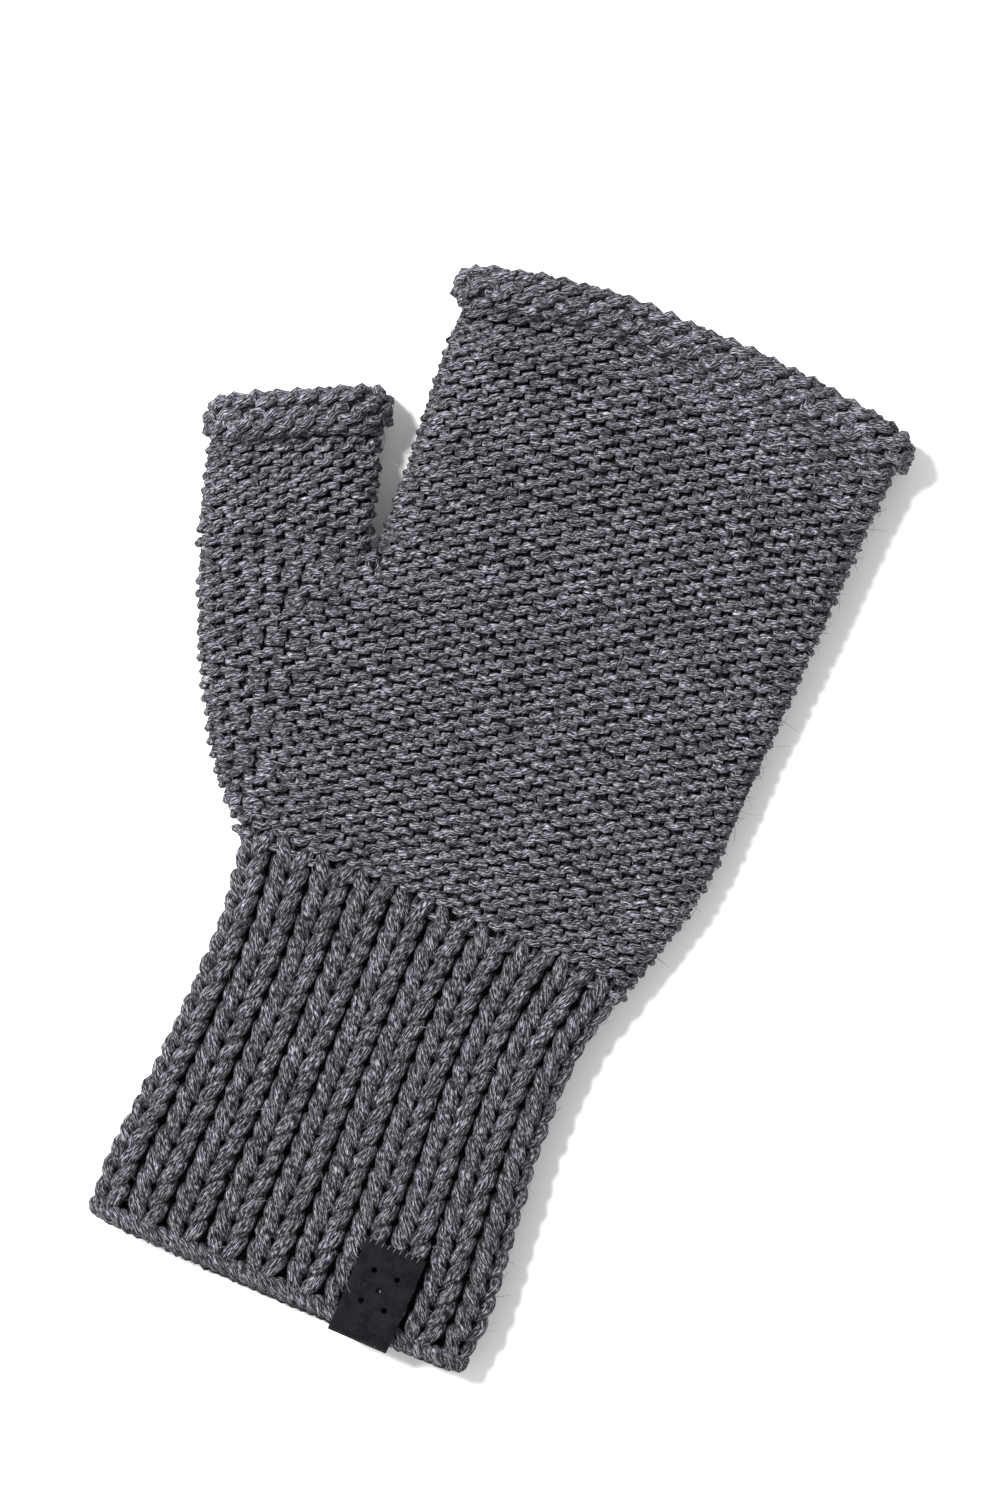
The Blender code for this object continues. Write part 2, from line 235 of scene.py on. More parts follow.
def curve_through(points, at):
    """The smooth curve through (at, value) points."""
    knots, values = np.array(points, float).T
    slopes = np.gradient(values, knots)
    at = np.clip(at, knots[0], knots[-1])
    i = np.clip(np.searchsorted(knots, at) - 1, 0, len(knots) - 2)
    span = knots[i + 1] - knots[i]
    t = (at - knots[i]) / span
    start = (2 * t**3 - 3 * t**2 + 1) * values[i] + (t**3 - 2 * t**2 + t) * slopes[i] * span
    return start + (3 * t**2 - 2 * t**3) * values[i + 1] + (t**3 - t**2) * slopes[i + 1] * span


def left_drop(x):
    """How far the finger opening's roll drops towards the thumb side."""
    return 7.4 * (np.maximum(0, -(x + 10)) / 39) ** 1.8


def right_drop(x):
    return 3.4 * (np.maximum(0, x - 14) / 36) ** 1.6


def thumb_drop(x):
    """How far the course at the crotch has dropped where the gusset's outer edge is."""
    return 0.000256 * np.maximum(0, -x) ** 2.5


def finger_line(x):
    return FINGER_ROLL_Y - left_drop(x) - right_drop(x)


def course_line(x, course):
    """Y of a course of the hand and gusset at x. The courses fan out over the gusset."""
    level = np.clip(course / HAND_COURSES, 0, 1.1)
    fan = np.clip(course / CROTCH_COURSE, 0.0001, 1) ** 0.45
    above = np.clip((course - CROTCH_COURSE) / (HAND_COURSES - CROTCH_COURSE), 0, 1)
    drop = (1 - above) * fan * thumb_drop(x) + above * left_drop(x)
    return WRIST_LINE + 0.6 + course * COURSE - drop - level * right_drop(x)


def hand_mid_z(y):
    return CUFF_MID_Z + (MOUTH_MID_Z - CUFF_MID_Z) * np.clip((y - 91) / (FINGER_ROLL_Y - 91), 0, 1)


def edge_of(outline, course):
    """X where a course meets an outline."""
    x = np.full(np.shape(course), curve_through(outline, 120.0))
    for _ in range(40):
        x = 0.5 * x + 0.5 * curve_through(outline, course_line(x, course))
    return x


LEVELS = np.linspace(-3, HAND_COURSES + 2, 180)
GUSSET_EDGE = edge_of(GUSSET_OUTER, LEVELS) + KNIT_DEPTH
LEFT_EDGE = edge_of(HAND_LEFT, LEVELS) + KNIT_DEPTH
RIGHT_EDGE = edge_of(HAND_RIGHT, LEVELS) - KNIT_DEPTH


def to_frame(points):
    return (points + SHIFT) * MM


# ---------------------------------------------------------------- surfaces


def flattened(left, right, height, share):
    """Across, up and the outward direction on a flattened tube.

    share runs from 0 at the left edge over the back to 1 at the right edge, and over the
    palm back to 2.
    """
    share = np.mod(share, 2)
    half = np.minimum(share, 2 - share)
    arc = math.pi / 2 * height
    flat = np.maximum(right - left - 2 * height, 0)
    reach = half * (2 * arc + flat)
    start = np.minimum(reach, arc) / height
    end = np.minimum(2 * arc + flat - reach, arc) / height
    across = left + height * (1 - np.cos(start)) + np.clip(reach - arc, 0, flat)
    across = across + height * np.cos(end)
    rise = np.sin(start) * np.sin(end) * np.where(share <= 1, 1, -1)
    return across, height * rise, np.cos(end) - np.cos(start), rise


def hand_place(side_wales, below):
    """place(wale, course) for a round with that many stitches left of the seams."""
    left_edge = GUSSET_EDGE if below else LEFT_EDGE
    total = side_wales + HAND_WALES

    def place(wale, course):
        left = np.interp(course, LEVELS, left_edge)
        right = np.interp(course, LEVELS, RIGHT_EDGE)
        height = KNIT_HEIGHT + 0.75 * np.exp(-np.abs(course - 0.3) / 1.6)
        length = math.pi * height + right - left - 2 * height
        seam_x = SEAM_X - 2.2 * np.clip((course - CROTCH_COURSE) / 20, 0, 1)
        seam = (math.pi / 2 * height + seam_x - left - height) / length
        near = np.minimum(np.mod(wale, total), total - np.mod(wale, total))
        beside = seam * near / (side_wales / 2)
        over = seam + (1 - seam) * (near - side_wales / 2) / (HAND_WALES / 2)
        share = np.where(near < side_wales / 2, beside, over)
        share = np.where(np.mod(wale, total) <= total / 2, share, 2 - share)
        x, up, _, _ = flattened(left, right, height, share)
        y = course_line(x, course)
        rise = (dents(x, y) + 0.6 * slack(x, course) - hand_neck(x, course)) * np.sign(up)
        return np.stack([x, y, hand_mid_z(y) + up + rise], -1)

    return place


def slack(x, course):
    """How far the last rounds swell out to meet the roll, on the little finger's side."""
    near = np.clip((course - 33.5) / 4.5, 0, 1)
    side = np.clip((x + 22) / 30, 0, 1)
    return near**1.5 * side * side * (3 - 2 * side)


def hand_neck(x, course):
    """How far the hand draws in under the roll, on the forefinger's side."""
    near = np.exp(-(((course - NECK_COURSE) / 1.2) ** 2))
    return NECK_DEPTH * near * np.clip((12 - x) / 30, 0, 1)


def dents(x, y):
    """The gentle unevenness of soft knitting that lies flat."""
    wave = 0.35 * np.sin(x / 13 + 0.8) * np.sin(y / 17 + 0.4)
    hollow = -0.9 * np.exp(-((x - 1) ** 2 / 180 + (y - 131) ** 2 / 260))
    return wave + 0.2 * np.sin(x / 6 + y / 9) + hollow


def side_wales_of(course):
    """The gusset grows by two stitches every few rounds."""
    return 2 * round((6.5 + 0.7 * max(course, 0)) / 2)


def thumb_place(wale, course):
    share = wale / (THUMB_WALES / 2)
    neck = np.exp(-(((course - THUMB_NECK) / 0.9) ** 2))
    half = THUMB_HALF - KNIT_DEPTH - 1.0 * neck
    u, up, _, _ = flattened(-half, half, KNIT_HEIGHT - 1.6 * neck, share)
    top = course / THUMB_COURSES
    bow = 1.05 * (u / THUMB_HALF) ** 2 * (1 - top)
    v = (course + 1) * 2.95 - 0.67 - bow + THUMB_ROLL_SLOPE * u * top
    spot = THUMB_BASE + u[..., None] * THUMB_U + v[..., None] * THUMB_V
    low = hand_mid_z(CROTCH[1])
    z = low + (MOUTH_MID_Z - low) * np.clip(v / THUMB_ROLL_V, 0, 1) + up
    return np.concatenate([spot, z[..., None]], -1)


def finger_roll_place(wale, course):
    x, up, out_x, out_z = flattened(*FINGER_RING, RING_HEIGHT, 2 * wale / FINGER_RING_WALES)
    turn = TURN * course / ROLL_COURSES
    out = np.cos(turn) * ROLL_OUT
    x_there = x + out_x * out
    y = finger_line(x) + np.sin(turn) * FINGER_ROLL_HALF
    return np.stack([x_there, y, MOUTH_MID_Z + up + out_z * out], -1)


def thumb_roll_place(wale, course):
    u, up, out_u, out_z = flattened(
        -THUMB_RING_HALF, THUMB_RING_HALF, RING_HEIGHT, 2 * wale / THUMB_WALES
    )
    turn = TURN * course / ROLL_COURSES
    out = np.cos(turn) * ROLL_OUT
    v = THUMB_ROLL_V + THUMB_ROLL_SLOPE * u + np.sin(turn) * THUMB_ROLL_HALF
    spot = THUMB_BASE + (u + out_u * out)[..., None] * THUMB_U + v[..., None] * THUMB_V
    return np.concatenate([spot, (MOUTH_MID_Z + up + out_z * out)[..., None]], -1)


def hem_bow(x):
    return np.sqrt(np.maximum(0, 1 - ((x + 1) / 43) ** 2))


def cuff_place(rib, row):
    """The cuff's surface. The palm's hem bows out below the back's."""
    share = rib / (RIBS / 2)
    y = FIRST_RIB_ROW + row * RIB_ROW
    left = curve_through(CUFF_LEFT, y) + RIB_DEPTH
    right = curve_through(CUFF_RIGHT, y) - RIB_DEPTH
    x, up, _, out_z = flattened(left, right, RIB_HEIGHT, share)
    low = np.where(out_z > 0, 0.4, 2.2) * np.abs(out_z) * hem_bow(x)
    y = y - low * np.clip(1 - y / 40, 0, 1.3)
    return np.stack([x, y, CUFF_MID_Z + up], -1)


# ---------------------------------------------------------------- yarn


def unit(vectors):
    return vectors / np.maximum(np.linalg.norm(vectors, axis=-1, keepdims=True), 1e-9)


def lay(place, wale, course, lift):
    """Points at a lift above a surface, and the surface's outward directions there."""
    step = 0.03
    across = place(wale + step, course) - place(wale - step, course)
    along = place(wale, course + step) - place(wale, course - step)
    out = unit(np.cross(across, along))
    return place(wale, course) + out * lift[..., None], out


class YarnMesh:
    """Gathers swept yarns, and the ground between them, into one piece."""

    def __init__(self, sides=SIDES):
        self.sides = sides
        self.points, self.faces, self.corners, self.open = [], [], [], []
        self.count = 0

    def add(self, points, faces, corners, painted_shade_level):
        self.points.append(points)
        self.faces.append(faces + self.count)
        self.corners.append(corners)
        self.open.append(painted_shade_level)
        self.count += len(points)

    def take(self, rings, high, length, radius):
        """Adds one stretch of a swept yarn, closed at both ends."""
        count, sides = len(rings), self.sides
        i, k = np.meshgrid(np.arange(count - 1), np.arange(sides), indexing="ij")
        i, k, after = i.ravel(), k.ravel(), (k.ravel() + 1) % sides
        faces = np.stack([i * sides + k, (i + 1) * sides + k, (i + 1) * sides + after,
                          i * sides + after], -1)
        ends = np.stack([length[i], length[i + 1], length[i + 1], length[i]], -1)
        around = np.stack([k, k, k + 1, k + 1], -1) * TURN * radius / sides
        corners = np.stack([ends, around], -1)
        caps = np.array(CAPS[sides])
        end = (count - 1) * sides + caps[:, ::-1]
        faces = np.concatenate([faces, caps, end])
        corners = np.concatenate([corners, np.zeros((2 * len(caps), 4, 2))])
        self.add(rings.reshape(-1, 3), faces, corners, high.ravel())

    def hairs(self, centres, outs, radius, count):
        """Stray fibres that curl out of a yarn and lie close over the loops."""
        at = RANDOM.integers(len(centres), size=count)
        out = outs[at]
        root = centres[at] + out * radius[at, None] * 0.8
        heading = RANDOM.normal(size=(count, 3))
        heading = unit(heading - 0.8 * out * (heading * out).sum(-1, keepdims=True))
        bend = RANDOM.normal(size=(count, 3)) * 0.16
        reach = RANDOM.uniform(1.2, 3.6, (count, 1))
        aside = unit(np.cross(heading, out + 0.1 * bend))
        rings = []
        for share, thick in ((0, HAIR), (0.5, HAIR), (1, 0.4 * HAIR)):
            away = reach * share
            middle = root + heading * away + bend * away**2 + out * (0.35 * math.sin(2.4 * share))
            rings.append(np.stack([middle + aside * thick, middle + out * thick,
                                   middle - aside * thick, middle - out * thick], 1))
        points = np.stack(rings, 1).reshape(-1, 3)
        faces = []
        for r in (0, 4):
            faces += [[r + k, r + 4 + k, r + 4 + (k + 1) % 4, r + (k + 1) % 4] for k in range(4)]
        faces += [[0, 1, 2, 3], [11, 10, 9, 8]]
        faces = (np.array(faces) + 12 * np.arange(count)[:, None, None]).reshape(-1, 4)
        corners = np.zeros((len(faces), 4, 2)) + RANDOM.uniform(0, 900, (len(faces), 1, 1))
        # painted shade: hairs take the top painted shade level, so they are never darkened
        self.add(points, faces, corners, np.full(len(points), 1.2))

    def ground(self, place, wales, courses, lift, thick):
        """A thin closed sheet behind the loops, painted darkest on its outer face as painted shade in
        the gaps between them.
        """
        wale, course = np.meshgrid(wales, courses)
        layers = [lay(place, wale, course, np.full(wale.shape, z))[0] for z in (lift, lift - thick)]
        rows, columns = wale.shape
        points = np.concatenate([layer.reshape(-1, 3) for layer in layers])
        number = np.arange(rows * columns).reshape(rows, columns)
        a, b = number[:-1, :-1].ravel(), number[:-1, 1:].ravel()
        c, d = number[1:, 1:].ravel(), number[1:, :-1].ravel()
        under = rows * columns
        faces = [np.stack([a, b, c, d], -1), np.stack([a, d, c, b], -1) + under]
        rim = np.concatenate([number[0], number[1:, -1], number[-1, -2::-1], number[-2:0:-1, 0]])
        ahead = np.roll(rim, -1)
        faces.append(np.stack([rim, rim + under, ahead + under, ahead], -1))
        faces = np.concatenate(faces)
        corners = points[faces][..., :2]
        # painted shade: the outer face gets the darkest level, the inner face the inside's level
        self.add(points, faces, corners, np.repeat([GAP_PAINTED_SHADE, INSIDE_PAINTED_SHADE], under))

    def make(self, name, material, slot):
        points = to_frame(np.concatenate(self.points))
        points[:, 2] = np.maximum(points[:, 2], CAD_BOX[0].z)  # pressed flat where it lies
        faces = np.concatenate(self.faces)
        mesh = bpy.data.meshes.new(name)
        mesh.vertices.add(len(points))
        mesh.vertices.foreach_set("co", points.astype(np.float32).ravel())
        mesh.loops.add(faces.size)
        mesh.loops.foreach_set("vertex_index", faces.astype(np.int32).ravel())
        mesh.polygons.add(len(faces))
        mesh.polygons.foreach_set("loop_start", np.arange(len(faces), dtype=np.int32) * 4)
        mesh.update(calc_edges=True)
        layer = mesh.uv_layers.new(name="yarn")
        layer.data.foreach_set("uv", np.concatenate(self.corners).astype(np.float32).ravel())
        painted_shade_level = mesh.attributes.new("painted_shade_level", "FLOAT", "POINT")
        painted_shade_level.data.foreach_set("value", np.concatenate(self.open).astype(np.float32))
        mesh.shade_smooth()
        obj = bpy.data.objects.new(name, mesh)
        bpy.context.scene.collection.objects.link(obj)
        mesh.materials.append(material)
        return obj


def sweep(stretches, centres, outs, radius, lift, closed=True, ground=-0.8):
    """Sweeps a yarn along its centres and shares out its (mesh, first, last) stretches.

    Each ring point's height above the surface sets its painted shade, darker deeper between the loops.
    Whatever lies lower than the ground shows only inside the glove, so it isn't darkened by that
    painted shade.
    """
    sides = stretches[0][0].sides
    if closed:
        ahead, behind = np.roll(centres, -1, 0), np.roll(centres, 1, 0)
    else:
        ahead = np.concatenate([centres[1:], centres[-1:]])
        behind = np.concatenate([centres[:1], centres[:-1]])
    forward = unit(ahead - behind)
    level = unit(np.cross(forward, outs))
    up = np.cross(level, forward)
    turns = TURN * np.arange(sides) / sides - math.pi / 2
    ring = level[:, None] * np.cos(turns)[:, None] + up[:, None] * np.sin(turns)[:, None]
    lumps = 1 + RANDOM.normal(0, LUMPS, (len(centres), sides, 1))
    rings = centres[:, None] + ring * lumps * radius[:, None, None]
    # painted shade: each ring point's height above the surface sets how dark it is painted, darkest
    # deep between the loops
    high = lift[:, None] + np.sin(turns) * radius[:, None]
    high = np.where(high < ground, INSIDE_PAINTED_SHADE, high)
    steps = np.linalg.norm(ahead - centres, axis=-1)
    length = np.concatenate([[0], np.cumsum(steps[:-1])]) + RANDOM.uniform(0, 900)
    if closed:
        rings = np.concatenate([rings, rings[:1]])
        high = np.concatenate([high, high[:1]])
        length = np.append(length, length[-1] + steps[-1])
    for mesh, first, last in stretches:
        part = slice(first, last + 1)
        mesh.take(rings[part], high[part], length[part], float(radius.mean()))
        part = slice(first, min(last, len(centres)))
        mesh.hairs(centres[part], outs[part], radius[part], round(HAIRS * float(steps[part].sum())))


def uneven(wale, count, amount):
    """A hand-knit unevenness that changes from stitch to stitch round a course."""
    values = RANDOM.uniform(-amount, amount, count)
    values = np.append(values, values[0])
    return np.interp(np.mod(wale, count), np.arange(count + 1), values)


def loop_round(wales, course, radius, lean=0.235, tall=0.75, bulge=1.0, slant=0.09):
    """(wale, course, lift, radius) along one round of loops with their purl side out."""
    wale = np.arange(wales * LOOP_STEPS) / LOOP_STEPS
    phase = TURN * wale
    across = wale + lean * np.sin(2 * phase) + uneven(wale, wales, 0.07)
    arch = 1.09 * np.cos(phase) - 0.09 * np.cos(3 * phase)
    along = course - tall * arch + slant * np.sin(2 * phase) + uneven(wale, wales, 0.08)
    lift = bulge * np.cos(2 * phase) + uneven(wale, wales, 0.18)
    thick = radius * (1 + uneven(wale, wales, 0.12)) * (1 + 0.07 * np.cos(2 * phase))
    return across, along, lift, thick


def knit_round(place, wales, course, radius, cuts, swell=None, **shape):
    """Sweeps one round of loops. cuts gives (mesh, first wale, last wale) stretches."""
    across, along, lift, thick = loop_round(wales, course, radius, **shape)
    if swell:
        thick = thick * swell(place(across, along))
    centres, outs = lay(place, across, along, lift)
    steps = [(mesh, round(first * LOOP_STEPS), round(last * LOOP_STEPS)) for mesh, first, last in cuts]
    sweep(steps, centres, outs, thick, lift)


# ---------------------------------------------------------------- materials


def group_of(name, inputs, outputs):
    group = bpy.data.node_groups.new(name, "ShaderNodeTree")
    for label, kind, value in inputs:
        socket = group.interface.new_socket(label, in_out="INPUT", socket_type=kind)
        socket.default_value = value
    for label, kind in outputs:
        group.interface.new_socket(label, in_out="OUTPUT", socket_type=kind)
    return group, group.nodes.new("NodeGroupInput"), group.nodes.new("NodeGroupOutput")


def math_node(tree, operation, *values):
    node = tree.nodes.new("ShaderNodeMath")
    node.operation = operation
    for socket, value in zip(node.inputs, values):
        if isinstance(value, bpy.types.NodeSocket):
            tree.links.new(value, socket)
        else:
            socket.default_value = value
    return node.outputs[0]


def noise_node(tree, vector, scale, detail=2.0, roughness=0.5):
    node = tree.nodes.new("ShaderNodeTexNoise")
    node.inputs["Scale"].default_value = scale
    node.inputs["Detail"].default_value = detail
    node.inputs["Roughness"].default_value = roughness
    tree.links.new(vector, node.inputs["Vector"])
    return node.outputs["Fac"]


def ramp_node(tree, value, stops):
    node = tree.nodes.new("ShaderNodeValToRGB")
    while len(node.color_ramp.elements) < len(stops):
        node.color_ramp.elements.new(0.5)
    for element, (place, shade) in zip(node.color_ramp.elements, stops):
        element.position = place
        element.color = (shade, shade, shade, 1)
    tree.links.new(value, node.inputs["Fac"])
    return node.outputs["Color"]


def mix_node(tree, factor, first, second):
    node = tree.nodes.new("ShaderNodeMix")
    node.data_type = "RGBA"
    for socket, value in zip((node.inputs[0], node.inputs[6], node.inputs[7]), (factor, first, second)):
        if isinstance(value, bpy.types.NodeSocket):
            tree.links.new(value, socket)
        else:
            socket.default_value = value
    return node.outputs[2]


def new_material(name, roughness, specular):
    material = bpy.data.materials.new(name)
    material.use_nodes = True
    shader = material.node_tree.nodes["Principled BSDF"]
    shader.inputs["Roughness"].default_value = roughness
    shader.inputs["Specular IOR Level"].default_value = specular
    return material, material.node_tree, shader


def add_bump(tree, shader, height, strength, depth):
    bump = tree.nodes.new("ShaderNodeBump")
    bump.inputs["Strength"].default_value = strength
    bump.inputs["Distance"].default_value = depth * MM
    tree.links.new(height, bump.inputs["Height"])
    tree.links.new(bump.outputs[0], shader.inputs["Normal"])


def build_wool_group():
    """Twisted heather fibres on a yarn whose UVs are millimetres along and around it, darkened by
    painted shade where the yarn lies deep between the loops.
    """
    group, given, result = group_of(
        "heather wool",
        [
            ("Dark", "NodeSocketColor", (0.02, 0.02, 0.02, 1)),
            ("Light", "NodeSocketColor", (0.3, 0.3, 0.3, 1)),
            ("Twist", "NodeSocketFloat", 0.3),
            ("Painted shade level", "NodeSocketFloat", 1.0),
        ],
        [("Color", "NodeSocketColor"), ("Height", "NodeSocketFloat")],
    )
    uv = group.nodes.new("ShaderNodeUVMap")
    uv.uv_map = "yarn"
    split = group.nodes.new("ShaderNodeSeparateXYZ")
    group.links.new(uv.outputs["UV"], split.inputs[0])
    along, around = split.outputs[0], split.outputs[1]
    slant = math_node(group, "MULTIPLY", along, given.outputs["Twist"])
    across = math_node(group, "SUBTRACT", around, slant)
    place = group.nodes.new("ShaderNodeTexCoord")

    def streaks(fineness, length, detail):
        vector = group.nodes.new("ShaderNodeCombineXYZ")
        group.links.new(math_node(group, "MULTIPLY", along, length), vector.inputs[0])
        group.links.new(math_node(group, "MULTIPLY", across, fineness), vector.inputs[1])
        return noise_node(group, vector.outputs[0], 1.0, detail, 0.6)

    fine = streaks(6.8, 1.2, 3.0)
    coarse = streaks(2.8, 0.65, 1.0)
    blotch = noise_node(group, place.outputs["Object"], 160.0, 3.0)
    value = math_node(group, "MULTIPLY_ADD", coarse, 0.5, fine)
    bright = ramp_node(group, value, [(0.63, 0.0), (0.77, 0.08), (0.88, 1.0)])
    colour = mix_node(group, bright, given.outputs["Dark"], given.outputs["Light"])
    tone = math_node(group, "MULTIPLY_ADD", blotch, 1.4, 0.3)
    # painted shade: the random tone times the painted shade level, which darkens yarn lying deep
    # between the loops
    shade = math_node(group, "MULTIPLY", tone, given.outputs["Painted shade level"])
    tinted = group.nodes.new("ShaderNodeVectorMath")
    tinted.operation = "SCALE"
    group.links.new(colour, tinted.inputs[0])
    group.links.new(shade, tinted.inputs["Scale"])
    group.links.new(tinted.outputs[0], result.inputs["Color"])
    ply = math_node(group, "SINE", math_node(group, "MULTIPLY", across, TURN / 1.7))
    matted = math_node(group, "MULTIPLY_ADD", coarse, 0.6, fine)
    height = math_node(group, "MULTIPLY_ADD", ply, 0.25, matted)
    group.links.new(height, result.inputs["Height"])
    return group


def wool_material(name, group, settings, twist, painted_light_factor=1.0):
    material, tree, shader = new_material(name, 0.78, 0.08)
    shader.inputs["Sheen Weight"].default_value = 0.02
    fibres = tree.nodes.new("ShaderNodeGroup")
    fibres.node_tree = group
    fibres.inputs["Dark"].default_value = (*settings.dark, 1)
    fibres.inputs["Light"].default_value = (*[painted_light_factor * c for c in settings.light], 1)
    fibres.inputs["Twist"].default_value = twist
    # painted shade: the mesh's painted shade level, from each yarn point's height, mapped to how bright
    # its colour is
    depth = tree.nodes.new("ShaderNodeAttribute")
    depth.attribute_name = "painted_shade_level"
    level = tree.nodes.new("ShaderNodeMapRange")
    level.inputs["From Min"].default_value = -0.4
    level.inputs["From Max"].default_value = 1.2
    level.inputs["To Min"].default_value = 0.12
    level.inputs["To Max"].default_value = 1.1
    tree.links.new(depth.outputs["Fac"], level.inputs["Value"])
    tree.links.new(level.outputs[0], fibres.inputs["Painted shade level"])
    tree.links.new(fibres.outputs["Color"], shader.inputs["Base Color"])
    add_bump(tree, shader, fibres.outputs["Height"], 0.9, 0.4)
    return material


def wool(name, twist=0.4, painted_light_factor=1.0):
    """The wool material of that name, made once."""
    found = bpy.data.materials.get(name)
    if found:
        return found
    group = bpy.data.node_groups.get("heather wool") or build_wool_group()
    return wool_material(name, group, bpy.context.scene.glove_yarn, twist, painted_light_factor)


# ---------------------------------------------------------------- knitted pieces


def bend_at_wrist(piece):
    """Bakes the piece's transform into its mesh; it does not bend the piece."""
    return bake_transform(piece)


def bend_at_thumb(piece):
    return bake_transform(piece)


HALVES = ("back", "palm")
LINING = (-0.6, 0.4)  # lift and thickness of the ground behind the plain knitting


def hand_wool():
    return wool("charcoal heather")


def roll_wool():
    # painted light: the hand's heather with its light fibres 1.05 times as bright, a lit copy for the
    # rolls
    return wool("roll heather", 0.35, 1.05)


def rib_wool():
    # painted shade: the hand's heather with its light fibres 0.76 times as bright, a shaded copy for
    # the ribbed cuff
    return wool("rib heather", 0.22, 0.76)


class GLOVE_OT_knit_hand(bpy.types.Operator):
    """Knits the hand and the gusset's first rounds, in purl-side-out rounds"""

    bl_idname = "glove.knit_hand"
    bl_label = "Knit Hand"

    split_course = 6

    def execute(self, context):
        radius = context.scene.glove_yarn.loop_radius / MM
        meshes = {half: YarnMesh() for half in HALVES}
        gussets = {half: YarnMesh() for half in HALVES}
        back, palm = meshes.values()
        for course in range(-1, HAND_COURSES + 1):
            below = course < CROTCH_COURSE
            side = side_wales_of(course) if below else EDGE_WALES
            total = side + HAND_WALES
            middle, near, far = total / 2, side / 2, total - side / 2
            if below and course >= self.split_course:
                cuts = [(gussets["back"], 0, near), (back, near, middle),
                        (palm, middle, far), (gussets["palm"], far, total)]
            else:
                cuts = [(back, 0, middle), (palm, middle, total)]
            place = hand_place(side, below)

            def thicker(at):
                return 1 + 0.3 * slack(at[:, 0], course)

            knit_round(place, total, course, radius, cuts, swell=thicker)
        self.add_grounds(meshes, gussets)
        for half in HALVES:
            hand = meshes[half].make(f"hand_{half}_knit", hand_wool(), "purl_knit")
            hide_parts(f"hand_{half}", f"wrist_rounds_{half}")
            bend_at_wrist(hand)
            gusset = gussets[half].make(f"gusset_{half}_knit", hand_wool(), "purl_knit")
            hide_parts(f"gusset_{half}")
            bend_at_thumb(gusset)
        return {"FINISHED"}

    def add_grounds(self, meshes, gussets):
        lower = np.arange(-1, CROTCH_COURSE, 1.0)
        upper = np.linspace(CROTCH_COURSE - 0.6, HAND_COURSES + 0.5, 21)
        low, high = hand_place(LINING_WALES, True), hand_place(EDGE_WALES, False)
        low_total, high_total = LINING_WALES + HAND_WALES, EDGE_WALES + HAND_WALES
        for half, start in (("back", 0), ("palm", 1)):
            seam = low_total * start + (1 - 2 * start) * LINING_WALES // 2
            middle = low_total / 2
            first = np.linspace(min(seam, middle), max(seam, middle), 41)
            meshes[half].ground(low, first, lower, *LINING)
            edge = low_total * start
            side = np.linspace(min(seam, edge), max(seam, edge), 15)
            meshes[half].ground(low, side, lower[: self.split_course + 1], *LINING)
            gussets[half].ground(low, side, lower[self.split_course :], *LINING)
            whole = np.linspace(start * high_total / 2, (start + 1) * high_total / 2, 47)
            meshes[half].ground(high, whole, upper, *LINING)


class GLOVE_OT_knit_thumb(bpy.types.Operator):
    """Knits the thumb's tube from the gusset to its rolled edge"""

    bl_idname = "glove.knit_thumb"
    bl_label = "Knit Thumb"

    def execute(self, context):
        radius = context.scene.glove_yarn.loop_radius / MM
        meshes = {half: YarnMesh() for half in HALVES}
        half_way = THUMB_WALES / 2
        cuts = [(meshes["back"], 0, half_way), (meshes["palm"], half_way, THUMB_WALES)]
        for course in range(THUMB_COURSES):
            knit_round(thumb_place, THUMB_WALES, course, radius, cuts)
        for number, half in enumerate(HALVES):
            wales = np.linspace(number * half_way, (number + 1) * half_way, 25)
            meshes[half].ground(thumb_place, wales, np.linspace(-0.6, THUMB_COURSES - 0.5, 11), *LINING)
            thumb = meshes[half].make(f"thumb_{half}_knit", hand_wool(), "purl_knit")
            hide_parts(f"thumb_{half}", f"thumb_base_rounds_{half}")
            bend_at_thumb(thumb)
        return {"FINISHED"}


class GLOVE_OT_knit_rolls(bpy.types.Operator):
    """Knits the rolled edges of the finger and thumb openings"""

    bl_idname = "glove.knit_rolls"
    bl_label = "Knit Rolled Edges"

    def execute(self, context):
        radius = context.scene.glove_yarn.roll_radius / MM
        rolls = (
            ("finger_roll", finger_roll_place, FINGER_RING_WALES, "hand"),
            ("thumb_roll", thumb_roll_place, THUMB_WALES, "thumb"),
        )
        for name, place, wales, body in rolls:
            meshes = {half: YarnMesh() for half in HALVES}
            cuts = [(meshes["back"], 0, wales / 2), (meshes["palm"], wales / 2, wales)]
            for course in range(ROLL_COURSES):
                knit_round(place, wales, course + 0.3, radius, cuts, slant=0.12)
            for number, half in enumerate(HALVES):
                span = np.linspace(number * wales / 2, (number + 1) * wales / 2, wales * 2)
                around = np.linspace(0, ROLL_COURSES, 15)
                meshes[half].ground(place, span, around, 0.1, 0.5)
                roll = meshes[half].make(f"{name}_{half}_knit", roll_wool(), "rolled_knit")
                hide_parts(f"{name}_{half}")
                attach(roll, body)
        return {"FINISHED"}


# One rib from its left valley to its middle, as (across in ribs, rows up, lift, radius)
RIB_LOOP = [
    (-0.500, -0.40, -2.1, 0.80),
    (-0.330, -0.80, -2.0, 0.95),
    (-0.100, -0.74, -1.3, 1.20),
    (-0.135, -0.42, -0.10, 1.48),
    (-0.228, -0.05, 0.45, 1.66),
    (-0.308, 0.30, 0.10, 1.52),
    (-0.345, 0.60, -1.00, 1.25),
    (-0.230, 0.86, -1.90, 1.05),
    (0.000, 0.92, -2.10, 1.00),
]


